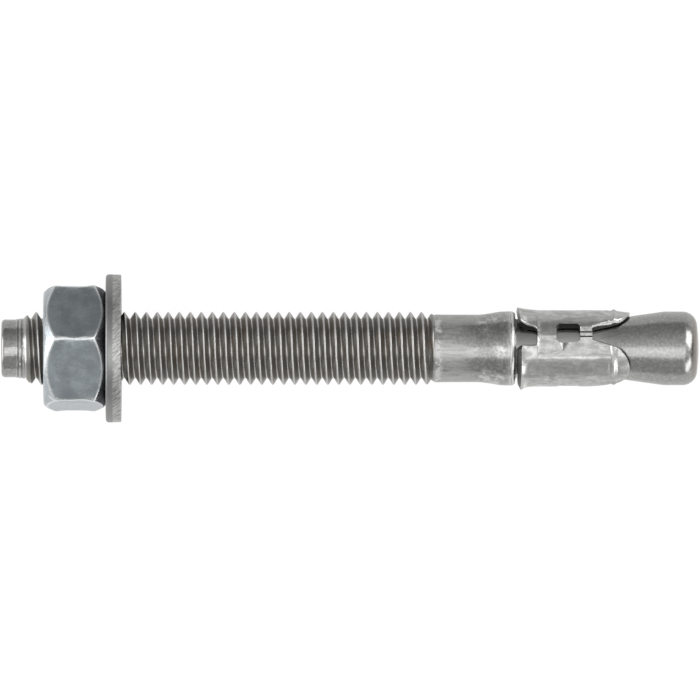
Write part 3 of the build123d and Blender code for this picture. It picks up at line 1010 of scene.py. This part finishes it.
def clipSteel():
    r = Recipe(bpy.data.materials.new("pressedStrip"))
    local = r.local()
    grain = r.noise(local, 1.1, 3)
    smear = r.noise(r.stretch(local, 0.5, 1.6, 1.6), 0.9, 3, 0.5, 0.7)
    speckle = r.noise(local, 5.0, 3, 0.6)
    # painted shade from the walls, inside, creases, front edges and the mark's dark side
    paintedShade = r.maths("MAXIMUM", r.mark("paintedShade"), r.mark("shaded"))
    # a painted highlight mark over 1 covers without gaps
    level = r.mark("paintedHighlight")
    paintedHighlight = level * r.step(r.noise(local, 2.6, 4, 0.6), 0.30, 0.60) + r.step(level, 1.0, 1.5)
    paintedHighlight = r.maths("MINIMUM", paintedHighlight, 1.0)
    base = r.coat(clip, "steel", [
        (r.step(grain, 0.35, 0.7), "steelBright"),
        (r.step(smear, 0.48, 0.66) * 0.7, "steelDull"),
        (r.step(speckle, 0.67, 0.74) * 0.5, "pit"),
        (paintedHighlight, "paintedHighlight"),
        (paintedShade, "paintedShade"),
    ])
    rough = r.step(smear, 0.3, 0.75, 0.24, 0.34) + paintedShade * 0.2 + paintedHighlight * 0.2
    return r.metal(base, rough, smear + paintedHighlight * 0.5, 0.25, 0.00007)


makePin()
print("pin made")
makeNut()
print("nut made")
makeWasher()
print("washer made")
makeClip()
print("clip made")

# Camera square to the bolt's axis, far off, as the photograph is taken
view = {
    "distance": 4.0,
    "width": 0.09541,  # what the picture's 700 pixels span at the axis
    "below": 0.00022,  # the picture's middle lies this far in front of the axis
    "middle": 47.5,  # station at the picture's middle
}
focus = (freeEnd + along * view["middle"]) / 1000 + side * view["below"]


def stand(name, data, where, right, over, back):
    # a camera or lamp at a place, with its rightward, upward and backward directions
    held = linked(name, data)
    held.location = where
    held.rotation_mode = "QUATERNION"
    columns = np.column_stack([right, over, back])
    held.rotation_quaternion = mathutils.Matrix(columns.tolist()).to_quaternion()
    return held


def makeCamera():
    camera = bpy.data.cameras.new("camera")
    camera.lens = camera.sensor_width * view["distance"] / view["width"]
    camera.clip_start, camera.clip_end = 0.05, 20
    eye = stand("camera", camera, focus + up * view["distance"], along, -side, up)
    bpy.context.scene.camera = eye


# Studio: a long soft box beside the camera, cards low at both ends, a dim room and a white table.
# A lamp stands so many degrees from straight up towards the front and so many towards the cone end.
studio = {
    "lamps": {
        "softBox": {"front": 13.5, "ahead": 0, "size": (0.50, 0.31), "glow": 0.86},
        "leftCard": {"front": 14, "ahead": -79, "size": (0.50, 0.27), "glow": 1.9},
        "rightBackBox": {"front": -42, "ahead": 52, "size": (0.40, 0.36), "glow": 2.3},
        "rightFrontBox": {"front": 68, "ahead": 44, "size": (0.34, 0.26), "glow": 2.1},
    },
    "lampDistance": 0.5,
    "roomDim": 0.29,  # low behind the bolt
    "roomLight": 0.80,  # beside the soft box
    "roomFront": 0.47,
    "tableInMetal": 0.78,
    "tableFar": 0.26,  # the same, beyond the cone end
    "tableBack": 0.62,  # and behind the bolt
    "roomFar": 0.24,  # share of the room's light beyond the cone end
    "tableGlow": 0.95,
    "tablePaint": 0.08,  # what the camera sees of lamp light and shadow on the table
}


def makeLamps():
    for name, lamp in studio["lamps"].items():
        across, ahead = math.radians(lamp["front"]), math.radians(lamp["ahead"])
        back = math.cos(ahead) * (up * math.cos(across) + side * math.sin(across)) + math.sin(ahead) * along
        over = np.cross(back, along)
        if np.linalg.norm(over) < 0.3:
            over = np.cross(back, side)
        over /= np.linalg.norm(over)
        light = bpy.data.lights.new(name, "AREA")
        light.shape = "RECTANGLE"
        light.size, light.size_y = lamp["size"]
        light.energy = math.pi * light.size * light.size_y * lamp["glow"]
        stand(name, light, focus + back * studio["lampDistance"], np.cross(over, back), over, back)


def makeRoom():
    # dim low behind the bolt, light beside the soft box, middling in front, plain white to the camera
    world = bpy.data.worlds.new("room")
    bpy.context.scene.world = world
    r = Recipe(world, "OutputWorld")
    direction = r.out("TexCoord", name="Generated")
    towardsFront, ahead = r.dot(direction, side), r.dot(direction, along)
    seen = r.out("LightPath", name="Is Camera Ray")
    s = studio
    strength = r.step(towardsFront, -1.05, -0.02, s["roomDim"], s["roomLight"])
    strength = strength - r.step(towardsFront, 0.2, 0.6, 0.0, s["roomLight"] - s["roomFront"])
    strength = strength * r.step(ahead, 0.80, 0.96, 1.0, s["roomFar"])
    strength = strength * (1 - seen) + seen
    background = r.node("Background", {0: (1, 1, 1, 1), 1: strength})
    r.join(background, r.output)


def tableTop():
    # white paper to lamps; to the camera and to metal a plain white that keeps the bolt's shadow
    r = Recipe(bpy.data.materials.new("whiteTable"))
    path = r.node("LightPath")
    toCamera, toMetal = (Wire(r, path.outputs[name]) for name in ("Is Camera Ray", "Is Glossy Ray"))
    seen = r.maths("MAXIMUM", toCamera, toMetal)
    beyond, behind, _ = r.parts(r.out("TexCoord", name="Object"))
    s = studio
    inMetal = r.step(behind, -0.005, 0.03, s["tableInMetal"], s["tableBack"])
    inMetal = inMetal * r.step(beyond, 0.055, 0.13, 1.0, s["tableFar"] / s["tableInMetal"])
    strength = toCamera * s["tableGlow"] + (1 - toCamera) * inMetal
    glow = r.node("Emission", {0: (1, 1, 1, 1), 1: strength})
    faint = r.node("BsdfDiffuse", {0: (*[s["tablePaint"]] * 3, 1)})
    paper = r.node("BsdfDiffuse", {0: (0.85, 0.85, 0.85, 1)})
    shown = r.node("AddShader")
    both = r.node("MixShader", {0: seen})
    r.join(glow, shown)
    r.join(faint, shown, 1)
    r.join(paper, both, 1)
    r.join(shown, both, 2)
    r.join(both, r.output)
    return r.owner


def makeTable():
    reach, low = 2.0, -2e-5
    mesh = bpy.data.meshes.new("table")
    corners = [(-reach, -reach, low), (reach, -reach, low), (reach, reach, low), (-reach, reach, low)]
    mesh.from_pydata(corners, [], [(0, 1, 2, 3)])
    mesh.materials.append(tableTop())
    linked("table", mesh)


makeCamera()
makeLamps()
makeRoom()
makeTable()
bpy.context.scene.view_settings.view_transform = "Standard"
print("studio made")
